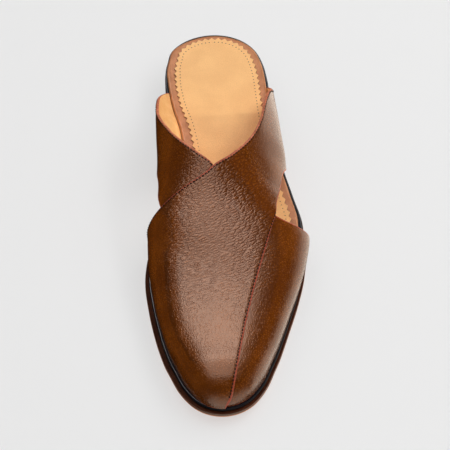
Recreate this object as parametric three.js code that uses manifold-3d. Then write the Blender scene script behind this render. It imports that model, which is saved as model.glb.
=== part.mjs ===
import * as THREE from 'three';
import { mergeVertices } from 'three/addons/utils/BufferGeometryUtils.js';
import Module from 'manifold-3d';

// A crossed-strap leather slipper for the left foot, in millimetres, toe towards -Y, floor at Z = 0.

// Sole sizes
const soleLength = 296;
const ballWidth = 107;
const heelWidth = 72;
const heelHeight = 22;
const toeSpring = 8;
const outsoleThickness = 5;
const midsoleThickness = 3.2;
const liftThickness = 6;
const heelTaper = 2.2;
const breastHollow = 3;
const edgeRound = 0.7;

// Inner sole sizes
const footbedThickness = 3;
const footbedRoll = 1.4;
const seatSide = 0.9;
const seatLateral = 0.2;
const seatBack = 1.2;
const sockThickness = 0.9;
const sockMargin = 4.2;
const waistMargin = 2.2;
const toothPitch = 4.7;
const toothDepth = 1.7;

// Upper sizes
const leather = 2;
const instepHeight = 65;
const toeHeight = 25;
const toeDome = 26;
const panelSink = 0.35;
const panelShelf = 26;

// Clearance between neighbouring pieces
const pieceGap = 0.3;

// Where the sole changes, as shares of its length from the back of the heel
const heelBreast = 0.25;
const seatRound = 0.06;
const seatEnd = 0.11;
const seatFade = 0.045;
const marginStart = 0.2;
const marginFade = 0.2;
const treadStart = 0.56;
const treadEnd = 0.7;
const heelRound = 0.115;
const toeRound = 0.1;

// Half widths of the outsole at each station
const planRows = [
  { along: 0, medial: heelWidth * 0.536, lateral: heelWidth * 0.494 },
  { along: 0.041, medial: heelWidth * 0.526, lateral: heelWidth * 0.478 },
  { along: 0.081, medial: heelWidth * 0.492, lateral: heelWidth * 0.467 },
  { along: 0.149, medial: heelWidth * 0.499, lateral: heelWidth * 0.494 },
  { along: 0.209, medial: heelWidth * 0.478, lateral: heelWidth * 0.508 },
  { along: 0.291, medial: heelWidth * 0.414, lateral: heelWidth * 0.531 },
  { along: 0.365, medial: ballWidth * 0.264, lateral: ballWidth * 0.381 },
  { along: 0.439, medial: ballWidth * 0.318, lateral: ballWidth * 0.436 },
  { along: 0.507, medial: ballWidth * 0.425, lateral: ballWidth * 0.483 },
  { along: 0.581, medial: ballWidth * 0.516, lateral: ballWidth * 0.486 },
  { along: 0.642, medial: ballWidth * 0.535, lateral: ballWidth * 0.462 },
  { along: 0.709, medial: ballWidth * 0.521, lateral: ballWidth * 0.411 },
  { along: 0.784, medial: ballWidth * 0.49, lateral: ballWidth * 0.337 },
  { along: 0.851, medial: ballWidth * 0.447, lateral: ballWidth * 0.269 },
  { along: 0.919, medial: ballWidth * 0.383, lateral: ballWidth * 0.192 },
  { along: 0.96, medial: ballWidth * 0.364, lateral: ballWidth * 0.168 },
  { along: 1, medial: ballWidth * 0.361, lateral: ballWidth * 0.163 },
];

// How far each edge lies inside the outsole's outline, medial and lateral
const insetRows = [
  { along: 0, midMedial: 0.3, midLateral: 0.3, wallMedial: 0, wallLateral: 0 },
  { along: 0.135, midMedial: 0.3, midLateral: 0.3, wallMedial: 0, wallLateral: -0.2 },
  { along: 0.236, midMedial: 0.5, midLateral: 0.5, wallMedial: 0.4, wallLateral: 0.2 },
  { along: 0.405, midMedial: 0.8, midLateral: 0.8, wallMedial: 0.7, wallLateral: 0.5 },
  { along: 0.541, midMedial: 1.8, midLateral: 0.9, wallMedial: 3.2, wallLateral: 1.6 },
  { along: 0.642, midMedial: 2.6, midLateral: 1.2, wallMedial: 4.4, wallLateral: 2.4 },
  { along: 0.777, midMedial: 2.8, midLateral: 1.3, wallMedial: 4.9, wallLateral: 2.5 },
  { along: 0.885, midMedial: 2.6, midLateral: 1.5, wallMedial: 4.6, wallLateral: 2.7 },
  { along: 0.959, midMedial: 2.1, midLateral: 1.7, wallMedial: 4, wallLateral: 3 },
  { along: 1, midMedial: 1.6, midLateral: 1.6, wallMedial: 3, wallLateral: 3 },
];

// Cross sections of the last: belly swell and height on each side, ridge place and height, fullness
const lastRows = [
  { along: 0.122, swellMedial: 7, swellLateral: 0.6, bellyMedial: 24, bellyLateral: 14,
    ridge: -5, height: instepHeight * 1.385, fullMedial: 1.6, fullLateral: 1.4 },
  { along: 0.203, swellMedial: 8.6, swellLateral: 0.8, bellyMedial: 24, bellyLateral: 14,
    ridge: -6, height: instepHeight * 1.292, fullMedial: 1.55, fullLateral: 1.34 },
  { along: 0.304, swellMedial: 15.4, swellLateral: 1.4, bellyMedial: 24, bellyLateral: 14,
    ridge: -8, height: instepHeight * 1.17, fullMedial: 1.55, fullLateral: 1.3 },
  { along: 0.365, swellMedial: 17, swellLateral: 1.2, bellyMedial: 24, bellyLateral: 14,
    ridge: -9, height: instepHeight * 1.085, fullMedial: 1.57, fullLateral: 1.3 },
  { along: 0.419, swellMedial: 14.3, swellLateral: -2, bellyMedial: 23, bellyLateral: 13,
    ridge: -9.5, height: instepHeight, fullMedial: 1.62, fullLateral: 1.32 },
  { along: 0.473, swellMedial: 9.8, swellLateral: -3.7, bellyMedial: 21, bellyLateral: 13,
    ridge: -10, height: instepHeight * 0.9, fullMedial: 1.7, fullLateral: 1.38 },
  { along: 0.524, swellMedial: 7.2, swellLateral: -0.6, bellyMedial: 19, bellyLateral: 14,
    ridge: -10, height: instepHeight * 0.812, fullMedial: 1.8, fullLateral: 1.48 },
  { along: 0.574, swellMedial: 3, swellLateral: 3.8, bellyMedial: 17, bellyLateral: 14,
    ridge: -10, height: instepHeight * 0.738, fullMedial: 1.88, fullLateral: 1.65 },
  { along: 0.659, swellMedial: 1.5, swellLateral: 3.2, bellyMedial: 14, bellyLateral: 13,
    ridge: -9.5, height: toeHeight * 1.62, fullMedial: 1.95, fullLateral: 1.85 },
  { along: 0.743, swellMedial: 1.6, swellLateral: 2.2, bellyMedial: 12, bellyLateral: 12,
    ridge: -9.5, height: toeHeight * 1.38, fullMedial: 2, fullLateral: 2 },
  { along: 0.828, swellMedial: 1.4, swellLateral: 1.5, bellyMedial: 11, bellyLateral: 11,
    ridge: -10, height: toeHeight * 1.2, fullMedial: 2.1, fullLateral: 2.1 },
  { along: 0.905, swellMedial: 1, swellLateral: 1, bellyMedial: 9, bellyLateral: 9,
    ridge: -10.5, height: toeHeight * 1.08, fullMedial: 2.2, fullLateral: 2.2 },
  { along: 1, swellMedial: 0.6, swellLateral: 0.6, bellyMedial: 7, bellyLateral: 7,
    ridge: -11, height: toeHeight, fullMedial: 2.2, fullLateral: 2.2 },
];

// Share of the girth that each side wall takes below its belly
const bellyGirth = 0.16;

// Overlay panel, from its lateral root over the instep to the toe: rear edge and front edge
// Girth runs from 0 at the medial foot line to 1 at the lateral foot line
const overlayRows = [
  { rear: 0.167, rearGirth: 1, front: 0.382, frontGirth: 1 },
  { rear: 0.201, rearGirth: 0.87, front: 0.399, frontGirth: 0.875 },
  { rear: 0.236, rearGirth: 0.78, front: 0.428, frontGirth: 0.782 },
  { rear: 0.284, rearGirth: 0.735, front: 0.472, frontGirth: 0.741 },
  { rear: 0.345, rearGirth: 0.7, front: 0.52, frontGirth: 0.697 },
  { rear: 0.403, rearGirth: 0.651, front: 0.568, frontGirth: 0.666 },
  { rear: 0.448, rearGirth: 0.585, front: 0.6, frontGirth: 0.65 },
  { rear: 0.483, rearGirth: 0.48, front: 0.635, frontGirth: 0.638 },
  { rear: 0.506, rearGirth: 0.39, front: 0.669, frontGirth: 0.627 },
  { rear: 0.522, rearGirth: 0.327, front: 0.703, frontGirth: 0.617 },
  { rear: 0.534, rearGirth: 0.275, front: 0.733, frontGirth: 0.609 },
  { rear: 0.543, rearGirth: 0.2, front: 0.763, frontGirth: 0.602 },
  { rear: 0.547, rearGirth: 0.1, front: 0.792, frontGirth: 0.597 },
  { rear: 0.548, rearGirth: 0, front: 0.82, frontGirth: 0.591 },
  { rear: 0.61, rearGirth: 0, front: 0.85, frontGirth: 0.585 },
  { rear: 0.68, rearGirth: 0, front: 0.88, frontGirth: 0.581 },
  { rear: 0.76, rearGirth: 0, front: 0.91, frontGirth: 0.578 },
  { rear: 0.85, rearGirth: 0, front: 0.94, frontGirth: 0.576 },
  { rear: 0.92, rearGirth: 0, front: 0.962, frontGirth: 0.576 },
  { rear: 0.968, rearGirth: 0, front: 0.982, frontGirth: 0.583 },
  { rear: 1, rearGirth: 0, front: 1, frontGirth: 0.62 },
];

// Underlay panel, from its medial root under the overlay to the lateral side of the toe
const underlayRows = [
  { rear: 0.169, rearGirth: 0, front: 0.378, frontGirth: 0 },
  { rear: 0.184, rearGirth: 0.035, front: 0.382, frontGirth: 0.04 },
  { rear: 0.203, rearGirth: 0.075, front: 0.389, frontGirth: 0.085 },
  { rear: 0.231, rearGirth: 0.12, front: 0.402, frontGirth: 0.13 },
  { rear: 0.268, rearGirth: 0.16, front: 0.429, frontGirth: 0.18 },
  { rear: 0.307, rearGirth: 0.208, front: 0.463, frontGirth: 0.222 },
  { rear: 0.347, rearGirth: 0.26, front: 0.5, frontGirth: 0.262 },
  { rear: 0.384, rearGirth: 0.312, front: 0.528, frontGirth: 0.295 },
  { rear: 0.417, rearGirth: 0.37, front: 0.558, frontGirth: 0.36 },
  { rear: 0.447, rearGirth: 0.437, front: 0.59, frontGirth: 0.445 },
  { rear: 0.474, rearGirth: 0.52, front: 0.622, frontGirth: 0.515 },
  { rear: 0.503, rearGirth: 0.585, front: 0.655, frontGirth: 0.545 },
  { rear: 0.534, rearGirth: 0.635, front: 0.69, frontGirth: 0.545 },
  { rear: 0.564, rearGirth: 0.668, front: 0.723, frontGirth: 0.538 },
  { rear: 0.573, rearGirth: 0.71, front: 0.757, frontGirth: 0.53 },
  { rear: 0.576, rearGirth: 0.79, front: 0.79, frontGirth: 0.522 },
  { rear: 0.576, rearGirth: 0.9, front: 0.822, frontGirth: 0.516 },
  { rear: 0.574, rearGirth: 1, front: 0.853, frontGirth: 0.511 },
  { rear: 0.63, rearGirth: 1, front: 0.882, frontGirth: 0.507 },
  { rear: 0.71, rearGirth: 1, front: 0.91, frontGirth: 0.503 },
  { rear: 0.8, rearGirth: 1, front: 0.937, frontGirth: 0.5 },
  { rear: 0.89, rearGirth: 1, front: 0.96, frontGirth: 0.5 },
  { rear: 0.96, rearGirth: 1, front: 0.982, frontGirth: 0.5 },
  { rear: 1, rearGirth: 1, front: 1, frontGirth: 0.5 },
];

// Fineness of the mesh
const outlineSteps = 48;
const panelRowSteps = 2;
const toeRowSteps = 6;
const panelColumns = 14;
const turnStep = 0.004;
const probe = 0.01;

// Smooth monotone curve through one column of a table
function follow(rows, column, at, key = 'along') {
  const last = rows.length - 1;
  const place = Math.min(Math.max(at, rows[0][key]), rows[last][key]);
  let k = 0;
  while (k < last - 1 && rows[k + 1][key] <= place) k += 1;
  const width = (i) => rows[i + 1][key] - rows[i][key];
  const slope = (i) => (rows[i + 1][column] - rows[i][column]) / width(i);
  const tangent = (i) => {
    if (i === 0) return slope(0);
    if (i === last) return slope(last - 1);
    const before = slope(i - 1);
    const after = slope(i);
    if (before * after <= 0) return 0;
    const first = 2 * width(i) + width(i - 1);
    const second = width(i) + 2 * width(i - 1);
    return (first + second) / (first / before + second / after);
  };
  const t = (place - rows[k][key]) / width(k);
  const u = 1 - t;
  return (1 + 2 * t) * u * u * rows[k][column] + t * u * u * width(k) * tangent(k)
    + t * t * (3 - 2 * t) * rows[k + 1][column] - t * t * u * width(k) * tangent(k + 1);
}

function ease(value) {
  const t = Math.min(Math.max(value, 0), 1);
  return t * t * (3 - 2 * t);
}

// Share of the full width left by the rounded heel and toe
function endRound(along) {
  const heel = Math.min(along / heelRound, 1);
  const toe = Math.min((1 - along) / toeRound, 1);
  return Math.sqrt(Math.max(0, 1 - (1 - heel) ** 2)) * Math.sqrt(Math.max(0, 1 - (1 - toe) ** 2));
}

function outlineX(along, side) {
  const medial = -follow(planRows, 'medial', along);
  const lateral = follow(planRows, 'lateral', along);
  const middle = (medial + lateral) / 2;
  return middle + ((side > 0 ? lateral : medial) - middle) * endRound(along);
}

// Point of the outline moved inwards along its normal: x and the distance from the heel's back
function planPoint(along, side, inset) {
  const turn = Math.acos(Math.min(Math.max(1 - 2 * along, -1), 1));
  const back = (1 - Math.cos(Math.max(turn - turnStep, 0))) / 2;
  const ahead = (1 - Math.cos(Math.min(turn + turnStep, Math.PI))) / 2;
  let tangentX = outlineX(ahead, side) - outlineX(back, side);
  let tangentS = (ahead - back) * soleLength;
  if (turn < turnStep) [tangentX, tangentS] = [side, 0];
  if (turn > Math.PI - turnStep) [tangentX, tangentS] = [-side, 0];
  const size = Math.hypot(tangentX, tangentS);
  return {
    x: outlineX(along, side) - side * tangentS / size * inset,
    s: along * soleLength + side * tangentX / size * inset,
  };
}

// Height of the outsole's underside
function soleBase(along) {
  if (along < heelBreast) return heelHeight;
  if (along < treadStart) return heelHeight * (1 - ease((along - heelBreast) / (treadStart - heelBreast)));
  const roll = Math.min(Math.max((along - treadEnd) / (1 - treadEnd), 0), 1);
  return toeSpring * roll * roll;
}

const outsoleTop = (along) => soleBase(along) + outsoleThickness;
const midsoleBase = (along) => outsoleTop(along) + pieceGap;
const midsoleTop = (along) => midsoleBase(along) + midsoleThickness;
const upperBase = (along) => midsoleTop(along) + pieceGap;
const footbedTop = (along) => upperBase(along) + footbedThickness;
const sockBase = (along) => footbedTop(along) + pieceGap;

const midsoleInset = (along, side) => follow(insetRows, side > 0 ? 'midLateral' : 'midMedial', along);
const wallInset = (along, side) => follow(insetRows, side > 0 ? 'wallLateral' : 'wallMedial', along);
const innerInset = (along, side) => wallInset(along, side) + leather + pieceGap;

// The open heel seat comes nearer to the sole's sides than behind the straps, and less near to its back
function seatInset(along, side) {
  const sides = side > 0 ? seatLateral : seatSide;
  const extra = seatBack - (seatBack + sides) * ease(along / seatRound);
  return innerInset(along, side) + extra * (1 - ease((along - seatEnd) / seatFade));
}

// The bare margin round the sock widens along the medial waist
function sockInset(along, side) {
  const widening = side > 0 ? 0 : waistMargin * ease((along - marginStart) / marginFade);
  return innerInset(along, side) + sockMargin + widening;
}

// Point on the last at a share of the length and a share of the girth
function lastPoint(along, girth) {
  const tip = Math.min(Math.max((1 - along) * soleLength / toeDome, 0), 1);
  const shrink = Math.sqrt(Math.max(0, 1 - (1 - tip) ** 2));
  const side = girth < 0.5 ? -1 : 1;
  const name = side < 0 ? 'Medial' : 'Lateral';
  const foot = planPoint(along, side, wallInset(along, side) + leather);
  const across = planPoint(along, -side, wallInset(along, -side) + leather);
  const middle = (foot.x + across.x) / 2;
  const settle = Math.min(Math.abs(foot.x - across.x) / (ballWidth * 0.37), 1);
  const ridge = middle + (follow(lastRows, 'ridge', along) - middle) * settle;
  const height = follow(lastRows, 'height', along) * shrink;
  const belly = follow(lastRows, `belly${name}`, along) * shrink;
  const swell = follow(lastRows, `swell${name}`, along) * shrink;
  const power = 2 / follow(lastRows, `full${name}`, along);
  const up = side < 0 ? girth : 1 - girth;
  if (up < bellyGirth) {
    const t = up / bellyGirth;
    const x = foot.x + side * swell * (1 - (1 - t) ** 2);
    return new THREE.Vector3(x, -foot.s, upperBase(foot.s / soleLength) + belly * t);
  }
  const turn = Math.min((up - bellyGirth) / (0.5 - bellyGirth), 1) * Math.PI / 2;
  const rise = Math.sin(turn) ** power;
  const spread = Math.max(Math.cos(turn), 0) ** power;
  const x = ridge + (foot.x + side * swell - ridge) * spread;
  const s = foot.s + ((foot.s + across.s) / 2 - foot.s) * Math.sin(turn);
  return new THREE.Vector3(x, -s, upperBase(s / soleLength) + belly + (height - belly) * rise);
}

// Outward direction of the last, level at the foot line so that the wall stands square on the sole
function lastNormal(along, girth) {
  const turn = Math.acos(1 - 2 * along);
  const back = (1 - Math.cos(turn - probe)) / 2;
  const ahead = (1 - Math.cos(Math.min(turn + probe, Math.PI - 2 * probe))) / 2;
  if (along > 1 - probe * probe) return new THREE.Vector3(0, -1, 0);
  const lengthwise = lastPoint(ahead, girth).sub(lastPoint(back, girth));
  const low = lastPoint(along, Math.max(girth - probe, 0));
  const girthwise = lastPoint(along, Math.min(girth + probe, 1)).sub(low);
  const normal = lengthwise.cross(girthwise).normalize();
  const level = ease(Math.min(girth, 1 - girth) / 0.06);
  normal.z *= level;
  return normal.normalize();
}

// Closed geometry from points and triangles, with its faces turned outwards
function closedGeometry(points, triangles) {
  const geometry = new THREE.BufferGeometry();
  geometry.setAttribute('position', new THREE.Float32BufferAttribute(points.flatMap((p) => [p.x, p.y, p.z]), 3));
  geometry.setIndex(triangles.flat());
  const merged = mergeVertices(geometry, 0.001);
  const order = Array.from(merged.index.array);
  const corner = (i) => new THREE.Vector3().fromBufferAttribute(merged.attributes.position, i);
  const kept = [];
  let volume = 0;
  for (let i = 0; i < order.length; i += 3) {
    const [a, b, c] = order.slice(i, i + 3);
    if (a === b || b === c || c === a) continue;
    kept.push([a, b, c]);
    volume += corner(a).dot(corner(b).cross(corner(c)));
  }
  merged.setIndex(volume > 0 ? kept.flat() : kept.flatMap(([a, b, c]) => [a, c, b]));
  merged.computeVertexNormals();
  return merged;
}

// Triangles of a grid of points, row by row
function gridTriangles(rows, columns, start = 0, flip = false) {
  const triangles = [];
  for (let i = 0; i < rows - 1; i += 1) {
    for (let j = 0; j < columns - 1; j += 1) {
      const a = start + i * columns + j;
      const b = a + columns;
      const pair = [[a, b, b + 1], [a, b + 1, a + 1]];
      triangles.push(...pair.map(([p, q, r]) => (flip ? [p, r, q] : [p, q, r])));
    }
  }
  return triangles;
}

// Indices around the edge of a grid
function gridEdge(rows, columns, start = 0) {
  const edge = [];
  for (let i = 0; i < rows; i += 1) edge.push(start + i * columns);
  for (let j = 1; j < columns; j += 1) edge.push(start + (rows - 1) * columns + j);
  for (let i = rows - 2; i >= 0; i -= 1) edge.push(start + i * columns + columns - 1);
  for (let j = columns - 2; j > 0; j -= 1) edge.push(start + j);
  return edge;
}

// Solid between stacked grids of the same layout, bottom first
function stackedSolid(grids, rows, columns) {
  const size = rows * columns;
  const points = grids.flat();
  const triangles = gridTriangles(rows, columns, 0, true);
  triangles.push(...gridTriangles(rows, columns, size * (grids.length - 1)));
  for (let level = 0; level < grids.length - 1; level += 1) {
    const low = gridEdge(rows, columns, level * size);
    const high = gridEdge(rows, columns, (level + 1) * size);
    low.forEach((index, k) => {
      const next = (k + 1) % low.length;
      triangles.push([index, low[next], high[next]], [index, high[next], high[k]]);
    });
  }
  return closedGeometry(points, triangles);
}

// Slab of the sole's outline between two stations: each layer has its inset and its height
function soleSlab(layers, { end = 1, across = 1, hollow = 0 } = {}) {
  const limit = Math.acos(1 - 2 * end);
  const turns = Array.from({ length: outlineSteps + 1 }, (_, i) => limit * i / outlineSteps);
  const grids = layers.map(({ inset, height }) => turns.flatMap((turn) => {
    const along = (1 - Math.cos(turn)) / 2;
    const left = planPoint(along, -1, inset(along, -1));
    const right = planPoint(along, 1, inset(along, 1));
    return Array.from({ length: across + 1 }, (_, j) => {
      const share = j / across;
      const back = hollow * 4 * share * (1 - share) * (along / end) ** 6;
      const s = left.s + (right.s - left.s) * share - back;
      return new THREE.Vector3(left.x + (right.x - left.x) * share, -s, height(s / soleLength));
    });
  }));
  return stackedSolid(grids, turns.length, across + 1);
}

// Sock lining with a pinked edge: teeth of equal pitch along each side
function sockSolid() {
  const base = sockInset;
  const sides = [-1, 1].map((side) => {
    const fine = Array.from({ length: outlineSteps * 10 + 1 }, (_, i) => {
      const along = (1 - Math.cos(Math.PI * i / (outlineSteps * 10))) / 2;
      return { along, ...planPoint(along, side, base(along, side)), run: 0 };
    });
    for (let i = 1; i < fine.length; i += 1) {
      fine[i].run = fine[i - 1].run + Math.hypot(fine[i].x - fine[i - 1].x, fine[i].s - fine[i - 1].s);
    }
    return fine;
  });
  const full = sides.map((fine) => fine[fine.length - 1].run);
  const steps = Math.round((full[0] + full[1]) / toothPitch);
  const layer = (height) => Array.from({ length: steps + 1 }, (_, i) => {
    const row = sides.map((fine, k) => {
      const target = full[k] * i / steps;
      const at = follow(fine, 'along', target, 'run');
      const side = k === 0 ? -1 : 1;
      return { along: at, ...planPoint(at, side, base(at, side) + (i % 2) * toothDepth) };
    });
    return row.map((p) => new THREE.Vector3(p.x, -p.s, height(p.s / soleLength)));
  }).flat();
  return stackedSolid([layer(sockBase), layer((along) => sockBase(along) + sockThickness)], steps + 1, 2);
}

// Row positions along a panel's table, closer together at the toe
function panelRowTurns(rows) {
  const turns = [];
  const spans = rows.length - 1;
  for (let i = 0; i < (spans - 1) * panelRowSteps; i += 1) turns.push(i / panelRowSteps);
  for (let i = 0; i <= toeRowSteps; i += 1) turns.push(spans - (1 - i / toeRowSteps) ** 2);
  return turns;
}

// Grid of length and girth shares of one panel
function panelGrid(rows) {
  const numbered = rows.map((row, turn) => ({ ...row, turn }));
  return panelRowTurns(rows).map((turn) => {
    const [rear, rearGirth, front, frontGirth] = ['rear', 'rearGirth', 'front', 'frontGirth']
      .map((column) => follow(numbered, column, turn, 'turn'));
    return Array.from({ length: panelColumns + 1 }, (_, j) => {
      const share = j / panelColumns;
      return { along: rear + (front - rear) * share, girth: rearGirth + (frontGirth - rearGirth) * share };
    });
  });
}

function panelSolid(grid, lift) {
  const shell = (extra) => grid.flat().map(({ along, girth }) => {
    const offset = lift(along, girth) + extra;
    const point = lastPoint(along, girth).addScaledVector(lastNormal(along, girth), offset);
    point.z = Math.max(point.z, upperBase(-point.y / soleLength));
    return point;
  });
  return stackedSolid([shell(0), shell(leather)], grid.length, panelColumns + 1);
}

// Height of the overlay over the last: it lies on the underlay and settles beyond that panel's edge
function overlayLift(underlay) {
  const columns = panelColumns + 1;
  const cells = underlay.flat();
  const edge = gridEdge(underlay.length, columns).map((index) => cells[index]);
  const edgePoints = edge.map(({ along, girth }) => lastPoint(along, girth));
  const covers = (along, girth) => edge.reduce((inside, a, k) => {
    const b = edge[(k + 1) % edge.length];
    if ((a.girth > girth) === (b.girth > girth)) return inside;
    const crossing = a.along + (b.along - a.along) * (girth - a.girth) / (b.girth - a.girth);
    return along < crossing ? !inside : inside;
  }, false);
  return (along, girth) => {
    const full = leather - panelSink;
    if (covers(along, girth)) return full;
    const point = lastPoint(along, girth);
    const near = Math.min(...edgePoints.map((p) => p.distanceTo(point)));
    return full * ease(1 - near / panelShelf);
  };
}

const wasm = await Module();
wasm.setup();

function toManifold(geometry) {
  const bare = geometry.clone();
  bare.deleteAttribute('normal');
  const merged = mergeVertices(bare, 0.001);
  return new wasm.Manifold(new wasm.Mesh({
    numProp: 3,
    vertProperties: new Float32Array(merged.attributes.position.array),
    triVerts: new Uint32Array(merged.index.array),
  }));
}

function fromManifold(solid) {
  const mesh = solid.getMesh();
  const geometry = new THREE.BufferGeometry();
  geometry.setAttribute('position', new THREE.BufferAttribute(new Float32Array(mesh.vertProperties), 3));
  geometry.setIndex(new THREE.BufferAttribute(new Uint32Array(mesh.triVerts), 1));
  geometry.computeVertexNormals();
  return geometry;
}

// Upper: the overlay joined to the underlay where they cross and along the vamp
const underlayGrid = panelGrid(underlayRows);
const underlay = panelSolid(underlayGrid, () => 0);
const overlay = panelSolid(panelGrid(overlayRows), overlayLift(underlayGrid));
const upper = fromManifold(toManifold(underlay).add(toManifold(overlay)));

const even = (value) => () => value;
const rounded = (base, top, inset) => [
  { inset: (along, side) => inset(along, side) + edgeRound, height: base },
  { inset, height: (along) => base(along) + edgeRound },
  { inset, height: (along) => top(along) - edgeRound },
  { inset: (along, side) => inset(along, side) + edgeRound, height: top },
];

const outsole = soleSlab(rounded(soleBase, outsoleTop, even(0)));
const midsole = soleSlab(rounded(midsoleBase, midsoleTop, midsoleInset));
const footbed = soleSlab([
  { inset: seatInset, height: upperBase },
  { inset: seatInset, height: (along) => footbedTop(along) - footbedRoll },
  { inset: (along, side) => seatInset(along, side) + footbedRoll * 0.3,
    height: (along) => footbedTop(along) - footbedRoll * 0.3 },
  { inset: (along, side) => seatInset(along, side) + footbedRoll, height: footbedTop },
]);
const heelShape = { end: heelBreast, across: 4, hollow: breastHollow };
const heelBlock = soleSlab([
  { inset: even(heelTaper), height: even(liftThickness + pieceGap) },
  { inset: even(edgeRound), height: even(heelHeight - pieceGap) },
], heelShape);
const heelLift = soleSlab([
  { inset: even(heelTaper + edgeRound), height: even(0) },
  { inset: even(heelTaper), height: even(liftThickness) },
], heelShape);

const part = new THREE.Group();
part.name = 'peshawari_chappal';

function addPiece(name, geometry, color, roughness) {
  const material = new THREE.MeshStandardMaterial({ color, roughness, metalness: 0 });
  material.name = name;
  const mesh = new THREE.Mesh(geometry, material);
  mesh.name = name;
  part.add(mesh);
}

addPiece('heel_lift', heelLift, 0x1c1a19, 0.7);
addPiece('heel_block', heelBlock, 0x3a2216, 0.45);
addPiece('outsole', outsole, 0x5c3a28, 0.5);
addPiece('midsole', midsole, 0x141414, 0.45);
addPiece('footbed', footbed, 0xa86a4c, 0.55);
addPiece('sock', sockSolid(), 0xdfa468, 0.6);
addPiece('upper', upper, 0x5a3013, 0.4);

// The origin is at the middle of the bounding box, on the floor
const box = new THREE.Box3().setFromObject(part);
const centre = box.getCenter(new THREE.Vector3());
part.children.forEach((mesh) => mesh.geometry.translate(-centre.x, -centre.y, -box.min.z));

export default part;
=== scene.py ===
import math

import bpy
import numpy as np
from mathutils import Matrix, Vector


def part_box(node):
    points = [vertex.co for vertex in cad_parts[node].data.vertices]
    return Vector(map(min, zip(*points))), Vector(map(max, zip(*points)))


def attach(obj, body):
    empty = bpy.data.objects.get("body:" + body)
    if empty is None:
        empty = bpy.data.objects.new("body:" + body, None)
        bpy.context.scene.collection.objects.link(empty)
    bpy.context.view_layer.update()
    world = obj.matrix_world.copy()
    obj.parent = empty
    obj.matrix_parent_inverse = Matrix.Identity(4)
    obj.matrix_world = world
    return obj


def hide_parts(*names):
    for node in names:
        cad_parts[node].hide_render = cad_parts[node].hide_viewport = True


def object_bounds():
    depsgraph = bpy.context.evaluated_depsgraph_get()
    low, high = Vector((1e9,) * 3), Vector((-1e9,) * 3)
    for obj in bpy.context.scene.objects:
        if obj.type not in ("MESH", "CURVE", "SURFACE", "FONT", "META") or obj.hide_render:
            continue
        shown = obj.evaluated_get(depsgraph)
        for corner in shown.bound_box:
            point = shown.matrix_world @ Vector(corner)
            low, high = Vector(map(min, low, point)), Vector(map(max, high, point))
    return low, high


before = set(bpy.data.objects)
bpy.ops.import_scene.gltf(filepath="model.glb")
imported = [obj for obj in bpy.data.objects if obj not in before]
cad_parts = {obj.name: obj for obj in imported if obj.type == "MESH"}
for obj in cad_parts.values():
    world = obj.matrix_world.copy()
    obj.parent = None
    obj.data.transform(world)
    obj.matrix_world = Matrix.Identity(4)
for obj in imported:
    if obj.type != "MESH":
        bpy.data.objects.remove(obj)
cadLow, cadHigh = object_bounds()
print("frame loaded:", len(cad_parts), "nodes")

mm = 0.001  # sizes are in millimetres, and stations run from the back of the heel

# Sizes of the shoe, as in the CAD source
shoe = {
    "length": 296, "heelHeight": 22, "toeSpring": 8, "outsole": 5, "midsole": 3.2,
    "heelTaper": 2.2, "breastHollow": 3, "footbed": 3, "footbedRoll": 1.4,
    "sock": 0.9, "sockMargin": 4.2, "waistMargin": 2.2, "marginStart": 0.2, "marginFade": 0.2,
    "toothPitch": 4.7, "toothDepth": 1.7, "leather": 2, "toeDome": 26, "bellyGirth": 0.16,
    "panelSink": 0.35, "panelShelf": 26, "gap": 0.3,
    "seatBack": 1.2, "seatSide": 0.9, "seatLateral": 0.2, "seatRound": 0.06, "seatEnd": 0.11,
    "seatFade": 0.045,
    "heelBreast": 0.25, "treadStart": 0.56, "treadEnd": 0.7, "heelRound": 0.115, "toeRound": 0.1,
}
ballWidth, heelWidth, instepHeight, toeHeight = 107, 72, 65, 25

# Half widths of the outsole at shares of its length
outline = {
    "along": [0, 0.041, 0.081, 0.149, 0.209, 0.291, 0.365, 0.439, 0.507, 0.581, 0.642, 0.709, 0.784, 0.851,
        0.919, 0.96, 1],
    "medial": [heelWidth * 0.536, heelWidth * 0.526, heelWidth * 0.492, heelWidth * 0.499, heelWidth * 0.478,
        heelWidth * 0.414, ballWidth * 0.264, ballWidth * 0.318, ballWidth * 0.425, ballWidth * 0.516,
        ballWidth * 0.535, ballWidth * 0.521, ballWidth * 0.49, ballWidth * 0.447, ballWidth * 0.383,
        ballWidth * 0.364, ballWidth * 0.361],
    "lateral": [heelWidth * 0.494, heelWidth * 0.478, heelWidth * 0.467, heelWidth * 0.494, heelWidth * 0.508,
        heelWidth * 0.531, ballWidth * 0.381, ballWidth * 0.436, ballWidth * 0.483, ballWidth * 0.486,
        ballWidth * 0.462, ballWidth * 0.411, ballWidth * 0.337, ballWidth * 0.269, ballWidth * 0.192,
        ballWidth * 0.168, ballWidth * 0.163],
}
# How far the edges of the midsole and of the upper lie inside the outsole
insets = {
    "along": [0, 0.135, 0.236, 0.405, 0.541, 0.642, 0.777, 0.885, 0.959, 1],
    "midMedial": [0.3, 0.3, 0.5, 0.8, 1.8, 2.6, 2.8, 2.6, 2.1, 1.6],
    "midLateral": [0.3, 0.3, 0.5, 0.8, 0.9, 1.2, 1.3, 1.5, 1.7, 1.6],
    "wallMedial": [0, 0, 0.4, 0.7, 3.2, 4.4, 4.9, 4.6, 4, 3],
    "wallLateral": [0, -0.2, 0.2, 0.5, 1.6, 2.4, 2.5, 2.7, 3, 3],
}
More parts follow.
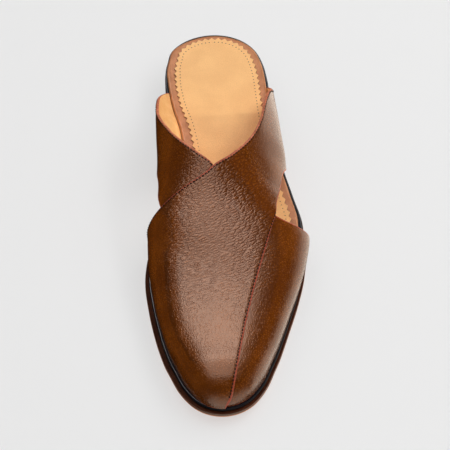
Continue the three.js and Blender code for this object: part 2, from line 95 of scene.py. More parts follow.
# Cross sections of the last: belly, ridge and fullness on each side
last = {
    "along": [0.122, 0.203, 0.304, 0.365, 0.419, 0.473, 0.524, 0.574, 0.659, 0.743, 0.828, 0.905, 1],
    "swellMedial": [7, 8.6, 15.4, 17, 14.3, 9.8, 7.2, 3, 1.5, 1.6, 1.4, 1, 0.6],
    "swellLateral": [0.6, 0.8, 1.4, 1.2, -2, -3.7, -0.6, 3.8, 3.2, 2.2, 1.5, 1, 0.6],
    "bellyMedial": [24, 24, 24, 24, 23, 21, 19, 17, 14, 12, 11, 9, 7],
    "bellyLateral": [14, 14, 14, 14, 13, 13, 14, 14, 13, 12, 11, 9, 7],
    "ridge": [-5, -6, -8, -9, -9.5, -10, -10, -10, -9.5, -9.5, -10, -10.5, -11],
    "height": [instepHeight * 1.385, instepHeight * 1.292, instepHeight * 1.17, instepHeight * 1.085,
        instepHeight, instepHeight * 0.9, instepHeight * 0.812, instepHeight * 0.738, toeHeight * 1.62,
        toeHeight * 1.38, toeHeight * 1.2, toeHeight * 1.08, toeHeight],
    "fullMedial": [1.6, 1.55, 1.55, 1.57, 1.62, 1.7, 1.8, 1.88, 1.95, 2, 2.1, 2.2, 2.2],
    "fullLateral": [1.4, 1.34, 1.3, 1.3, 1.32, 1.38, 1.48, 1.65, 1.85, 2, 2.1, 2.2, 2.2],
}
# Overlay from its lateral root over the instep to the toe, by girth from the medial foot line
overlay = {
    "rear": [0.167, 0.201, 0.236, 0.284, 0.345, 0.403, 0.448, 0.483, 0.506, 0.522, 0.534, 0.543, 0.547, 0.548,
        0.61, 0.68, 0.76, 0.85, 0.92, 0.968, 1],
    "rearGirth": [1, 0.87, 0.78, 0.735, 0.7, 0.651, 0.585, 0.48, 0.39, 0.327, 0.275, 0.2, 0.1, 0, 0, 0, 0, 0,
        0, 0, 0],
    "front": [0.382, 0.399, 0.428, 0.472, 0.52, 0.568, 0.6, 0.635, 0.669, 0.703, 0.733, 0.763, 0.792, 0.82,
        0.85, 0.88, 0.91, 0.94, 0.962, 0.982, 1],
    "frontGirth": [1, 0.875, 0.782, 0.741, 0.697, 0.666, 0.65, 0.638, 0.627, 0.617, 0.609, 0.602, 0.597,
        0.591, 0.585, 0.581, 0.578, 0.576, 0.576, 0.583, 0.62],
}
# Underlay from its medial root under the overlay to the lateral side of the toe
underlay = {
    "rear": [0.169, 0.184, 0.203, 0.231, 0.268, 0.307, 0.347, 0.384, 0.417, 0.447, 0.474, 0.503, 0.534, 0.564,
        0.573, 0.576, 0.576, 0.574, 0.63, 0.71, 0.8, 0.89, 0.96, 1],
    "rearGirth": [0, 0.035, 0.075, 0.12, 0.16, 0.208, 0.26, 0.312, 0.37, 0.437, 0.52, 0.585, 0.635, 0.668,
        0.71, 0.79, 0.9, 1, 1, 1, 1, 1, 1, 1],
    "front": [0.378, 0.382, 0.389, 0.402, 0.429, 0.463, 0.5, 0.528, 0.558, 0.59, 0.622, 0.655, 0.69, 0.723,
        0.757, 0.79, 0.822, 0.853, 0.882, 0.91, 0.937, 0.96, 0.982, 1],
    "frontGirth": [0, 0.04, 0.085, 0.13, 0.18, 0.222, 0.262, 0.295, 0.36, 0.445, 0.515, 0.545, 0.545, 0.538,
        0.53, 0.522, 0.516, 0.511, 0.507, 0.503, 0.5, 0.5, 0.5, 0.5],
}


# Shape of the sole and of the last

def follow(table, column, at, key="along"):  # smooth curve through one column that never overshoots
    place, value = np.array(table[key], float), np.array(table[column], float)
    width = np.diff(place)
    slope = np.diff(value) / width
    before, after = slope[:-1], slope[1:]
    bends = before * after > 0
    first, second = 2 * width[1:] + width[:-1], width[1:] + 2 * width[:-1]
    share = np.where(bends, first / np.where(bends, before, 1) + second / np.where(bends, after, 1), 1)
    tangent = np.concatenate(([slope[0]], np.where(bends, (first + second) / share, 0), [slope[-1]]))
    at = np.clip(at, place[0], place[-1])
    k = np.clip(np.searchsorted(place, at, side="right") - 1, 0, len(width) - 1)
    t = (at - place[k]) / width[k]
    u = 1 - t
    return ((1 + 2 * t) * u * u * value[k] + t * u * u * width[k] * tangent[k]
            + t * t * (3 - 2 * t) * value[k + 1] - t * t * u * width[k] * tangent[k + 1])


def ease(value):
    t = np.clip(value, 0, 1)
    return t * t * (3 - 2 * t)


def outlineX(along, side):
    medial, lateral = -follow(outline, "medial", along), follow(outline, "lateral", along)
    heel = np.minimum(along / shoe["heelRound"], 1)
    toe = np.minimum((1 - along) / shoe["toeRound"], 1)
    rounding = np.sqrt(np.maximum(0, 1 - (1 - heel) ** 2)) * np.sqrt(np.maximum(0, 1 - (1 - toe) ** 2))
    middle = (medial + lateral) / 2
    return middle + (np.where(side > 0, lateral, medial) - middle) * rounding


def planPoint(along, side, inset):  # a point of the outline, moved inwards along its normal
    step = 0.004
    turn = np.arccos(np.clip(1 - 2 * along, -1, 1))
    back = (1 - np.cos(np.maximum(turn - step, 0))) / 2
    ahead = (1 - np.cos(np.minimum(turn + step, np.pi))) / 2
    heelEnd, toeEnd = turn < step, turn > np.pi - step
    across = np.where(heelEnd, side, np.where(toeEnd, -side, outlineX(ahead, side) - outlineX(back, side)))
    forward = np.where(heelEnd | toeEnd, 0, (ahead - back) * shoe["length"])
    size = np.hypot(across, forward)
    x = outlineX(along, side) - side * forward / size * inset
    return x, along * shoe["length"] + side * across / size * inset


def soleBase(along):
    shank = 1 - ease((along - shoe["heelBreast"]) / (shoe["treadStart"] - shoe["heelBreast"]))
    roll = np.clip((along - shoe["treadEnd"]) / (1 - shoe["treadEnd"]), 0, 1)
    return np.where(along < shoe["treadStart"], shoe["heelHeight"] * shank, shoe["toeSpring"] * roll * roll)


def midsoleBase(along):
    return soleBase(along) + shoe["outsole"] + shoe["gap"]


def upperBase(along):
    return midsoleBase(along) + shoe["midsole"] + shoe["gap"]


def footbedTop(along):
    return upperBase(along) + shoe["footbed"]


def insetOf(name, along, side):
    return np.where(side > 0, follow(insets, name + "Lateral", along), follow(insets, name + "Medial", along))


def innerInset(along, side):
    return insetOf("wall", along, side) + shoe["leather"] + shoe["gap"]


def seatInset(along, side):  # the open heel seat comes nearer to the sole's sides, and less near to its back
    sides = np.where(side > 0, shoe["seatLateral"], shoe["seatSide"])
    extra = shoe["seatBack"] - (shoe["seatBack"] + sides) * ease(along / shoe["seatRound"])
    return innerInset(along, side) + extra * (1 - ease((along - shoe["seatEnd"]) / shoe["seatFade"]))


def sockInset(along, side):  # the margin widens along the medial waist
    widening = shoe["waistMargin"] * ease((along - shoe["marginStart"]) / shoe["marginFade"])
    return innerInset(along, side) + shoe["sockMargin"] + np.where(side < 0, widening, 0)


def lastPoint(along, girth):  # x, minus the station, height
    tip = np.clip((1 - along) * shoe["length"] / shoe["toeDome"], 0, 1)
    shrink = np.sqrt(np.maximum(0, 1 - (1 - tip) ** 2))
    side = np.where(girth < 0.5, -1.0, 1.0)

    def section(name):
        return np.where(side < 0, follow(last, name + "Medial", along), follow(last, name + "Lateral", along))

    footX, footS = planPoint(along, side, insetOf("wall", along, side) + shoe["leather"])
    otherX, otherS = planPoint(along, -side, insetOf("wall", along, -side) + shoe["leather"])
    middle = (footX + otherX) / 2
    settle = np.minimum(np.abs(footX - otherX) / (ballWidth * 0.37), 1)
    ridge = middle + (follow(last, "ridge", along) - middle) * settle
    height = follow(last, "height", along) * shrink
    belly, swell = section("belly") * shrink, section("swell") * shrink
    power = 2 / section("full")
    up = np.where(side < 0, girth, 1 - girth)
    t = up / shoe["bellyGirth"]
    turn = np.clip((up - shoe["bellyGirth"]) / (0.5 - shoe["bellyGirth"]), 0, 1) * np.pi / 2
    rise, spread = np.sin(turn) ** power, np.maximum(np.cos(turn), 0) ** power
    low = t < 1
    x = np.where(low, footX + side * swell * (1 - (1 - t) ** 2),
                 ridge + (footX + side * swell - ridge) * spread)
    s = np.where(low, footS, footS + ((footS + otherS) / 2 - footS) * np.sin(turn))
    z = upperBase(s / shoe["length"]) + np.where(low, belly * t, belly + (height - belly) * rise)
    return np.stack([x, -s, z], -1)


def lastNormal(along, girth):
    probe = 0.01
    turn = np.arccos(np.clip(1 - 2 * along, -1, 1))
    ahead = (1 - np.cos(np.minimum(turn + probe, np.pi - 2 * probe))) / 2
    lengthwise = lastPoint(ahead, girth) - lastPoint((1 - np.cos(turn - probe)) / 2, girth)
    girthwise = (lastPoint(along, np.minimum(girth + probe, 1))
                 - lastPoint(along, np.maximum(girth - probe, 0)))
    normal = unit(np.cross(lengthwise, girthwise))
    normal[:, 2] *= ease(np.minimum(girth, 1 - girth) / 0.06)  # the wall stands square on the sole
    normal = unit(normal)
    normal[along > 1 - probe * probe] = (0, -1, 0)
    return normal


def unit(vectors):
    return vectors / np.maximum(np.linalg.norm(vectors, axis=-1, keepdims=True), 1e-9)


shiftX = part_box("outsole")[0].x / mm - outlineX(np.linspace(0, 1, 400), -1).min()
shiftY = cadHigh.y / mm


def toFrame(points):  # from the shoe's own millimetres to the row frame
    return (points + (shiftX, shiftY, 0)) * mm


# Ways of making a piece

def startEdit(piece):
    bpy.ops.object.select_all(action="DESELECT")
    piece.select_set(True)
    bpy.context.view_layer.objects.active = piece
    bpy.ops.object.mode_set(mode="EDIT")
    bpy.ops.mesh.select_all(action="SELECT")


def flatBlank(name, rows, columns, levels):  # a flat pattern, one unit across, down and per level
    bpy.ops.object.select_all(action="DESELECT")
    bpy.ops.mesh.primitive_grid_add(x_subdivisions=columns, y_subdivisions=rows, size=1,
                                    location=(0.5, 0.5, 0))
    blank = bpy.context.object
    blank.name = blank.data.name = name
    bpy.ops.object.transform_apply(location=True, rotation=True, scale=True)
    startEdit(blank)
    for _ in range(levels - 1):
        bpy.ops.mesh.extrude_region_move(TRANSFORM_OT_translate={"value": (0, 0, 1)})
    bpy.ops.object.mode_set(mode="OBJECT")
    return blank


def faceMiddles(piece):
    middles = np.zeros(len(piece.data.polygons) * 3)
    piece.data.polygons.foreach_get("center", middles)
    return middles.reshape(-1, 3)


def mould(piece, place):  # bends the flat pattern to its shape, and closes its seams and poles
    mesh = piece.data
    at = np.zeros(len(mesh.vertices) * 3)
    mesh.vertices.foreach_get("co", at)
    at = at.reshape(-1, 3)
    spots = place(at[:, 0], at[:, 1], np.rint(at[:, 2]).astype(int))
    mesh.vertices.foreach_set("co", toFrame(spots).ravel())
    mesh.update()
    startEdit(piece)
    bpy.ops.mesh.remove_doubles(threshold=0.00001)
    bpy.ops.mesh.normals_make_consistent(inside=False)
    bpy.ops.object.mode_set(mode="OBJECT")
    return piece


def finish(piece, materials, stands=None, smooth=40):
    for material in materials:
        piece.data.materials.append(material)
    bpy.ops.object.select_all(action="DESELECT")
    piece.select_set(True)
    bpy.context.view_layer.objects.active = piece
    bpy.ops.object.shade_smooth_by_angle(angle=math.radians(smooth))
    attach(piece, "root")
    if stands:
        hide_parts(stands)
    return piece


def stamped(name, model, spots):  # one mesh of many copies of a small model, each at its own matrix
    copies = []
    for spot in spots:
        copy = model.copy()
        copy.data = model.data.copy()
        copy.data.transform(spot)
        bpy.context.scene.collection.objects.link(copy)
        copies.append(copy)
    bpy.data.objects.remove(model)
    bpy.ops.object.select_all(action="DESELECT")
    for copy in copies:
        copy.select_set(True)
    bpy.context.view_layer.objects.active = copies[0]
    bpy.ops.object.join()
    copies[0].name = copies[0].data.name = name
    return copies[0]


def layFrame(point, along, up):  # matrix of a small model that lies along a line on a surface
    out = Vector(up).normalized()
    ahead = Vector(along)
    ahead = (ahead - out * ahead.dot(out)).normalized()
    return Matrix.Translation(Vector(point)) @ Matrix((ahead, out.cross(ahead), out)).transposed().to_4x4()


def evenly(points, pitch):  # indices and shares that cut a line into steps of one pitch
    run = np.concatenate(([0], np.cumsum(np.linalg.norm(np.diff(points, axis=0), axis=1))))
    return np.interp(np.arange(pitch / 2, run[-1] - pitch / 4, pitch), run, np.arange(len(points)))


def between(values, at):
    low = np.clip(at.astype(int), 0, len(values) - 2)
    part = (at - low)[:, None]
    return values[low] * (1 - part) + values[low + 1] * part


# Materials

def newMaterial(name):
    material = bpy.data.materials.new(name)
    material.use_nodes = True
    return material, material.node_tree, material.node_tree.nodes["Principled BSDF"]


def addNode(tree, kind, inputs, output=0, **settings):
    made = tree.nodes.new(kind)
    for name, value in settings.items():
        setattr(made, name, value)
    for name, value in inputs.items():
        if isinstance(value, bpy.types.NodeSocket):
            tree.links.new(value, made.inputs[name])
        else:
            made.inputs[name].default_value = value
    return made.outputs[output]


def objectPlace(tree):
    return tree.nodes.new("ShaderNodeTexCoord").outputs["Object"]


def stretched(tree, vector, scale):
    return addNode(tree, "ShaderNodeMapping", {"Vector": vector, "Scale": scale})


def noise(tree, vector, scale, detail=3, roughness=0.5):
    return addNode(tree, "ShaderNodeTexNoise",
                   {"Vector": vector, "Scale": scale, "Detail": detail, "Roughness": roughness})


def fitted(tree, value, low, high, toLow=0.0, toHigh=1.0, curve="SMOOTHSTEP"):
    return addNode(tree, "ShaderNodeMapRange", {"Value": value, "From Min": low, "From Max": high,
                                                "To Min": toLow, "To Max": toHigh}, interpolation_type=curve)


def maths(tree, operation, first, second):
    return addNode(tree, "ShaderNodeMath", {0: first, 1: second}, operation=operation)


def blended(tree, share, first, second, mode="MIX"):
    return addNode(tree, "ShaderNodeMix", {0: share, 6: colour(first), 7: colour(second)}, 2,
                   data_type="RGBA", blend_type=mode)


def colour(value):
    return value if isinstance(value, bpy.types.NodeSocket) else (*value, 1.0)


def pits(tree, vector, scale, width, dimensions="3D"):  # 0 in the furrows between grain cells, 1 on them
    furrow = addNode(tree, "ShaderNodeTexVoronoi", {"Vector": vector, "Scale": scale},
                     feature="DISTANCE_TO_EDGE", voronoi_dimensions=dimensions)
    return fitted(tree, furrow, 0.0, width)


def bumped(tree, height, depth, strength=1.0):
    return addNode(tree, "ShaderNodeBump", {"Height": height, "Distance": depth * mm, "Strength": strength})


def surface(shader, **values):
    for name, value in values.items():
        socket = shader.inputs[name.replace("_", " ")]
        if isinstance(value, bpy.types.NodeSocket):
            shader.id_data.links.new(value, socket)
        elif socket.type == "RGBA":
            socket.default_value = (*value, 1.0)
        else:
            socket.default_value = value


# The furrow colour is painted shade, laid into the grain's furrows and the waves' troughs.
leatherLook = {
    "dark": (0.092, 0.0210, 0.0008), "light": (0.156, 0.0380, 0.0014), "furrow": (0.045, 0.009, 0.0006),
    "cell": 1.4, "cellDepth": 0.11, "lump": 3.4, "lumpDepth": 0.06, "wave": (5.0, 1.65), "waveDepth": 0.17,
    "waveTilt": 0.06, "wander": 1.2, "toePebbles": 0.75, "tint": (1.0, 0.70, 0.53),
    "roughness": (0.20, 0.27), "coat": 0.10, "coatRoughness": 0.14,
}


def grainedLeather():
    look = leatherLook
    material, tree, shader = newMaterial("pebbled_brown_leather")
    place = objectPlace(tree)
    flow = addNode(tree, "ShaderNodeAttribute", {}, "Vector", attribute_name="grain")
    wander = noise(tree, place, 1 / (6 * mm), 2)
    wander = maths(tree, "MULTIPLY", wander, look["wander"] * mm)
    split = tree.nodes.new("ShaderNodeSeparateXYZ")
    tree.links.new(flow, split.inputs[0])
    round_, outward, waving = split.outputs
    outward = maths(tree, "ADD", outward, maths(tree, "MULTIPLY", round_, look["waveTilt"]))
    flow = addNode(tree, "ShaderNodeCombineXYZ", {0: maths(tree, "ADD", round_, wander),
                                                  1: maths(tree, "ADD", outward, wander)})
    length, width = look["wave"]
    waves = pits(tree, stretched(tree, flow, (1 / (length * mm), 1 / (width * mm), 1)), 1.0, 0.36, "2D")
    cells = pits(tree, place, 1 / (look["cell"] * mm), 0.5)
    lumps = noise(tree, place, 1 / (look["lump"] * mm), 1)
    pebbled = fitted(tree, noise(tree, place, 1 / (40 * mm), 1), 0.3, 0.7, look["toePebbles"], 1.0)
    waves = maths(tree, "MULTIPLY", maths(tree, "SUBTRACT", 1.0, waves), waving)
    cells = maths(tree, "MULTIPLY", maths(tree, "SUBTRACT", 1.0, cells), pebbled)
    height = maths(tree, "ADD", maths(tree, "MULTIPLY", waves, -look["waveDepth"]),
                   maths(tree, "MULTIPLY", cells, -look["cellDepth"]))
    height = maths(tree, "ADD", height, maths(tree, "MULTIPLY", lumps, look["lumpDepth"]))
    cloud = fitted(tree, noise(tree, place, 1 / (22 * mm), 4), 0.30, 0.72)
    tone = blended(tree, cloud, look["dark"], look["light"])
    # Painted shade: the colour darkens towards the furrow colour where the grain and waves are low.
    furrowShade = fitted(tree, maths(tree, "ADD", waves, maths(tree, "MULTIPLY", cells, 0.9)), 0.3, 1.0, 0.0, 0.8)
    tone = blended(tree, furrowShade, tone, look["furrow"])
    roughness = fitted(tree, noise(tree, place, 1 / (3 * mm), 3), 0.3, 0.7, *look["roughness"])
    surface(shader, Base_Color=tone, Roughness=roughness, Normal=bumped(tree, height, 1.0),
            Specular_Tint=look["tint"], Coat_Weight=look["coat"], Coat_Roughness=look["coatRoughness"])
    return material


def plainLeather(name, dark, light, patch, roughness, depth, coat=0.0, stretch=(1, 1, 1), gloss=0.5):
    material, tree, shader = newMaterial(name)
    place = stretched(tree, objectPlace(tree), stretch)
    cloud = fitted(tree, noise(tree, place, 1 / (patch * mm), 5, 0.6), 0.32, 0.70)
    speck = noise(tree, place, 1 / (0.7 * mm), 3, 0.6)
    tone = blended(tree, cloud, dark, light)
    tone = blended(tree, fitted(tree, speck, 0.35, 0.6, 0.16, 0.0), tone, tuple(0.55 * c for c in dark))
    grain = maths(tree, "ADD", speck, pits(tree, place, 1 / (1.1 * mm), 0.2))
    rough = fitted(tree, speck, 0.3, 0.7, roughness - 0.05, roughness + 0.08)
    surface(shader, Base_Color=tone, Roughness=rough, Normal=bumped(tree, grain, depth), Coat_Weight=coat,
            Coat_Roughness=0.3, Specular_IOR_Level=gloss)
    return material


rimHighlightLook = {  # painted highlight: a light grey line on the black ledge of the medial side and a slate tone round the heel, by place in metres
    "medialFade": (-0.016, -0.030), "heelFade": (0.03, 0.07), "dark": (0.004, 0.004, 0.006),
    "medial": (0.24, 0.24, 0.26), "heel": (0.020, 0.023, 0.030),
}


# Black rim whose colour carries a painted highlight: lighter grey on the medial side, slate round the heel.
def rimWithPaintedHighlight():
    material, tree, shader = newMaterial("black_rim_painted_highlight")
    place = tree.nodes.new("ShaderNodeSeparateXYZ")
    tree.links.new(objectPlace(tree), place.inputs[0])
    medial = fitted(tree, place.outputs[0], *rimHighlightLook["medialFade"])
    heel = fitted(tree, place.outputs[1], *rimHighlightLook["heelFade"])
    tone = blended(tree, medial, rimHighlightLook["dark"], rimHighlightLook["medial"])
    surface(shader, Base_Color=blended(tree, heel, tone, rimHighlightLook["heel"]), Roughness=0.4,
            Specular_IOR_Level=0.3)
    return material


paintLook = {  # salmon at the collar, redder along the toe seam, and rubbed dark in places
    "collarFade": (-0.002, 0.022), "toe": (0.36, 0.055, 0.022), "collar": (0.64, 0.200, 0.105),
    "rubbed": (0.16, 0.045, 0.022), "rubSize": 2.5,
}


def edgePaint():
    material, tree, shader = newMaterial("painted_cut_edge")
    place = objectPlace(tree)
    split = addNode(tree, "ShaderNodeSeparateXYZ", {0: place}, 1)
    tone = blended(tree, fitted(tree, split, *paintLook["collarFade"]), paintLook["toe"], paintLook["collar"])
    rub = noise(tree, place, 1 / (paintLook["rubSize"] * mm), 4)
    tone = blended(tree, fitted(tree, rub, 0.35, 0.7, 0.45, 0.0), tone, paintLook["rubbed"])
    surface(shader, Base_Color=tone, Roughness=0.42, Normal=bumped(tree, rub, 0.08), Coat_Weight=0.03,
            Specular_IOR_Level=0.15)
    return material


def stackedEdge(name, dark, light, layer, roughness, coat=0.3):  # polished layers, seen as fine level lines
    material, tree, shader = newMaterial(name)
    place = objectPlace(tree)
    levels = noise(tree, stretched(tree, place, (0.04, 0.04, 1.0)), 1 / (layer * mm), 4, 0.7)
    speck = noise(tree, place, 1 / (1.2 * mm), 3)
    tone = blended(tree, fitted(tree, levels, 0.35, 0.65), dark, light)
    surface(shader, Base_Color=tone, Roughness=fitted(tree, speck, 0.3, 0.7, roughness, roughness + 0.14),
            Normal=bumped(tree, maths(tree, "ADD", levels, maths(tree, "MULTIPLY", speck, 0.4)), 0.12),
            Coat_Weight=coat, Coat_Roughness=0.2, Specular_IOR_Level=coat + 0.2)
    return material


def threadFinish(name, tone):
    material, tree, shader = newMaterial(name)
    twist = addNode(tree, "ShaderNodeTexWave", {"Vector": objectPlace(tree), "Scale": 1 / (1.1 * mm),
                                               "Distortion": 1.0}, bands_direction="DIAGONAL")
    surface(shader, Base_Color=blended(tree, twist, tuple(0.6 * c for c in tone), tone), Roughness=0.7,
            Normal=bumped(tree, twist, 0.05), Specular_IOR_Level=0.1)
    return material


finishes = {
    "upper": grainedLeather(),
    "edge": edgePaint(),
    "lining": plainLeather("tan_lining", (0.92, 0.500, 0.175), (0.98, 0.580, 0.235), 9, 0.55, 0.06,
                           stretch=(2.2, 2.2, 0.5)),
    "sock": plainLeather("tan_sock_leather", (0.90, 0.490, 0.190), (0.96, 0.545, 0.215), 16, 0.55, 0.05,
                         gloss=0.2),
    "sockEdge": plainLeather("sock_cut_edge", (0.20, 0.075, 0.030), (0.33, 0.14, 0.06), 4, 0.7, 0.05),
    "footbed": plainLeather("pinkish_footbed_leather", (0.37, 0.130, 0.040), (0.47, 0.178, 0.062), 7, 0.50,
                            0.06, gloss=0.4),
    "footbedRoll": plainLeather("burnished_footbed_roll", (0.36, 0.120, 0.030), (0.50, 0.19, 0.06), 8, 0.42,
                                0.05, coat=0.2),
    "black": plainLeather("waxed_black_edge", (0.002, 0.002, 0.003), (0.006, 0.006, 0.008), 8, 0.62, 0.05,
                          gloss=0.08),
    "blackRim": rimWithPaintedHighlight(),
    "soleTop": plainLeather("dark_red_sole_edge", (0.040, 0.009, 0.003), (0.075, 0.019, 0.006), 9, 0.60,
                            0.05, gloss=0.03),
    "soleSide": stackedEdge("burnished_sole_side", (0.080, 0.036, 0.019), (0.15, 0.075, 0.043), 1.1, 0.45,
                            0.08),
    # painted highlight: a light orange that stands in for the light along the sole's bottom rim
    "soleRimHighlight": plainLeather("sole_rim_painted_highlight", (0.60, 0.200, 0.060), (0.76, 0.29, 0.10), 6, 0.45, 0.05),
    "heel": stackedEdge("stacked_heel_leather", (0.035, 0.014, 0.008), (0.085, 0.038, 0.020), 2.6, 0.26),
    "rubber": plainLeather("black_rubber", (0.010, 0.010, 0.010), (0.024, 0.023, 0.022), 5, 0.62, 0.10),
    # painted shade: the dark colour of the perforation discs stands in for the shade inside the holes
    "hole": plainLeather("perforation_painted_shade", (0.16, 0.055, 0.018), (0.25, 0.09, 0.03), 2, 0.8, 0.0),
    "thread": threadFinish("dark_brown_thread", (0.010, 0.004, 0.002)),
}
print("finishes made:", len(finishes))


# Sole: slabs of the shoe's outline, built up by layers of inset, height and finish

def soleSlab(name, layers, across=12, rows=220, end=1.0, hollow=0.0):
    blank = flatBlank(name, rows, across, len(layers))
    for face, level in zip(blank.data.polygons, faceMiddles(blank)[:, 2]):
        face.material_index = layers[int(level)][2]

    def place(share, down, level):
        limit = np.arccos(1 - 2 * end)
        along = (1 - np.cos(limit * down)) / 2
        spots = np.zeros((len(down), 3))
        for k, (inset, height, _) in enumerate(layers):
            mine = level == k
            a, part = along[mine], share[mine]
            leftX, leftS = planPoint(a, -1.0, inset(a, -1.0))
            rightX, rightS = planPoint(a, 1.0, inset(a, 1.0))
            back = hollow * 4 * part * (1 - part) * (a / end) ** 6
            s = leftS + (rightS - leftS) * part - back
            spots[mine] = np.stack([leftX + (rightX - leftX) * part, -s, height(s / shoe["length"])], -1)
        return spots

    return mould(blank, place)


def plus(function, extra):
    return lambda *at: function(*at) + extra


def even(value):
    return lambda along, side=0: np.full(np.shape(along), float(value))


def layered(inset, base, rises):  # rises: extra inset, height over the base, finish of the face above
    return [(plus(inset, extra), plus(base, rise), finishIndex) for extra, rise, finishIndex in rises]


# The outsole's bottom and the lowest 1.8 mm of its side take a light orange painted highlight; above it comes
# the burnished side, then the dark red top ledge.
outsoleForm = {"rises": [(1.2, 0, 1), (0.35, 0.30, 1), (0, 0.95, 1), (0, 1.8, 0), (0, 4.1, 2),
                         (0.2, 4.7, 2), (0.7, 5.0, 2)]}
outsole = soleSlab("outsole_dressed", layered(even(0), soleBase, outsoleForm["rises"]), across=24)
finish(outsole, [finishes["soleSide"], finishes["soleRimHighlight"], finishes["soleTop"]], "outsole")

# A narrow band on the midsole's top, just inside its rounded rim, takes the rim finish with its painted
# highlight line.
midsoleForm = {"rises": [(0.6, 0, 0), (0.1, 0.25, 0), (0, 0.7, 0), (0, 2.6, 0), (0.12, 2.95, 0),
                         (0.4, 3.2, 1), (0.85, 3.2, 0)]}
midsole = soleSlab("midsole_dressed", layered(lambda a, side: insetOf("mid", a, side), midsoleBase,
                                              midsoleForm["rises"]), across=24)
finish(midsole, [finishes["black"], finishes["blackRim"]], "midsole")
print("outsole and midsole made")

heelForm = {"stack": 5, "groove": 0.22, "grooveWidth": 0.35, "bottom": 6.3, "top": 21.7,
            "topInset": 0.7, "round": 0.3}


def heelLayers():
    form, taper = heelForm, shoe["heelTaper"]
    height = form["top"] - form["bottom"]

    def at(z, extra):
        share = (z - form["bottom"]) / height
        return even(taper + (form["topInset"] - taper) * share + extra), even(z), 0

    layers = [at(form["bottom"], form["round"]), at(form["bottom"] + form["round"], 0)]
    for k in range(1, form["stack"]):
        z = form["bottom"] + height * k / form["stack"]
        layers += [at(z - form["grooveWidth"], 0), at(z, form["groove"]), at(z + form["grooveWidth"], 0)]
    return layers + [at(form["top"] - form["round"], 0), at(form["top"], form["round"])]


heelBlock = soleSlab("heel_block_dressed", heelLayers(), 16, 90, shoe["heelBreast"], shoe["breastHollow"])
finish(heelBlock, [finishes["heel"]], "heel_block", 30)
liftRises = [(0.7, 0, 0), (0.2, 0.2, 0), (0, 0.7, 0), (0, 5.6, 0), (0.15, 5.9, 0), (0.3, 6, 0)]
heelLift = soleSlab("heel_lift_dressed", layered(even(shoe["heelTaper"]), even(0), liftRises), 16, 90,
                    shoe["heelBreast"], shoe["breastHollow"])
finish(heelLift, [finishes["rubber"]], "heel_lift")
print("heel made")

roll = shoe["footbedRoll"]
footbedLayers = [(seatInset, upperBase, 0)]
for quarter in np.linspace(0, math.pi / 2, 6):
    footbedLayers.append((plus(seatInset, roll * (1 - math.cos(quarter))),
                          plus(footbedTop, roll * (math.sin(quarter) - 1)), 0 if quarter < 1.4 else 1))
footbed = soleSlab("footbed_dressed", footbedLayers, across=40)
finish(footbed, [finishes["footbedRoll"], finishes["footbed"]], "footbed")


# Sock lining with its pinked edge

sockForm = {"columns": 20, "round": 0.16, "holePitch": 2.65, "holeInside": 4.0, "holeSize": 0.42}


def sockRuns():  # along share at each pinking step of both sides
    runs = []
    for side in (-1.0, 1.0):
        along = (1 - np.cos(np.pi * np.linspace(0, 1, 1200))) / 2
        x, s = planPoint(along, side, sockInset(along, side))
        runs.append((along, np.concatenate(([0], np.cumsum(np.hypot(np.diff(x), np.diff(s)))))))
    return runs


sockSides = sockRuns()
sockSteps = round((sockSides[0][1][-1] + sockSides[1][1][-1]) / shoe["toothPitch"])


def sockAlong(down, side):
    along, run = sockSides[0 if side < 0 else 1]
    return np.interp(down * run[-1], run, along)


def sockPlace(share, down, level):
    columns = sockForm["columns"]
    column = np.rint(share * columns).astype(int)
    rim = (column == 0) | (column == columns)
    tooth = np.rint(down * sockSteps).astype(int) % 2 * shoe["toothDepth"]
    inset = np.where(rim, tooth, shoe["toothDepth"] + 0.8) + np.where(level == 2, sockForm["round"], 0)
    part = np.clip((column - 1) / (columns - 2), 0, 1)
    ends = []
    for side in (-1.0, 1.0):
        along = sockAlong(down, side)
        x, s = planPoint(along, side, sockInset(along, side) + inset)
        ends.append(np.stack([x, s], -1))
    spot = ends[0] + (ends[1] - ends[0]) * part[:, None]
    rise = np.array([0, shoe["sock"] - sockForm["round"], shoe["sock"]])[level]
    height = footbedTop(spot[:, 1] / shoe["length"]) + shoe["gap"] + rise
    return np.stack([spot[:, 0], -spot[:, 1], height], -1)


sock = flatBlank("sock_dressed", sockSteps, sockForm["columns"], 3)
for face, level in zip(sock.data.polygons, faceMiddles(sock)[:, 2]):
    face.material_index = 1 if 0.1 < level < 0.9 else 0
mould(sock, sockPlace)
finish(sock, [finishes["sock"], finishes["sockEdge"]], "sock")

holeLine = []
for side in (-1.0, 1.0):
    down = np.linspace(0.002, 0.998, 900)
    along = sockAlong(down, side)
    x, s = planPoint(along, side, sockInset(along, side) + sockForm["holeInside"])
    top = footbedTop(s / shoe["length"]) + shoe["gap"] + shoe["sock"]
    line = np.stack([x, -s, top], -1)
    holeLine.append(between(line, evenly(line, sockForm["holePitch"])))
# Each perforation is a thin dark disc lying on the sock: painted shade where a hole would be.
bpy.ops.mesh.primitive_cylinder_add(vertices=10, radius=sockForm["holeSize"] * mm, depth=0.10 * mm)
hole = bpy.context.object
startEdit(hole)
bpy.ops.mesh.bevel(offset=0.03 * mm, segments=1, affect="EDGES")
bpy.ops.object.mode_set(mode="OBJECT")
places = toFrame(np.concatenate(holeLine))
holes = stamped("sock_perforations", hole, [Matrix.Translation(Vector(p)) for p in places])
finish(holes, [finishes["hole"]])
print("footbed and sock made, with", sockSteps // 2, "teeth a side")


# Upper: two crossed panels, each one sheet of leather with its lining and painted cut edges

upperForm = {
    "rows": 230, "columns": 72, "toeShare": 0.90, "edgeCrowding": 0.82, "edgeRound": 0.6, "paintBand": 0.62,
    "stitchInside": 1.3, "stitchPitch": 2.4, "stitchSize": (0.85, 0.50, 0.38), "stitchGroove": 0.16,
    "grainCentre": (-30, 60),
}

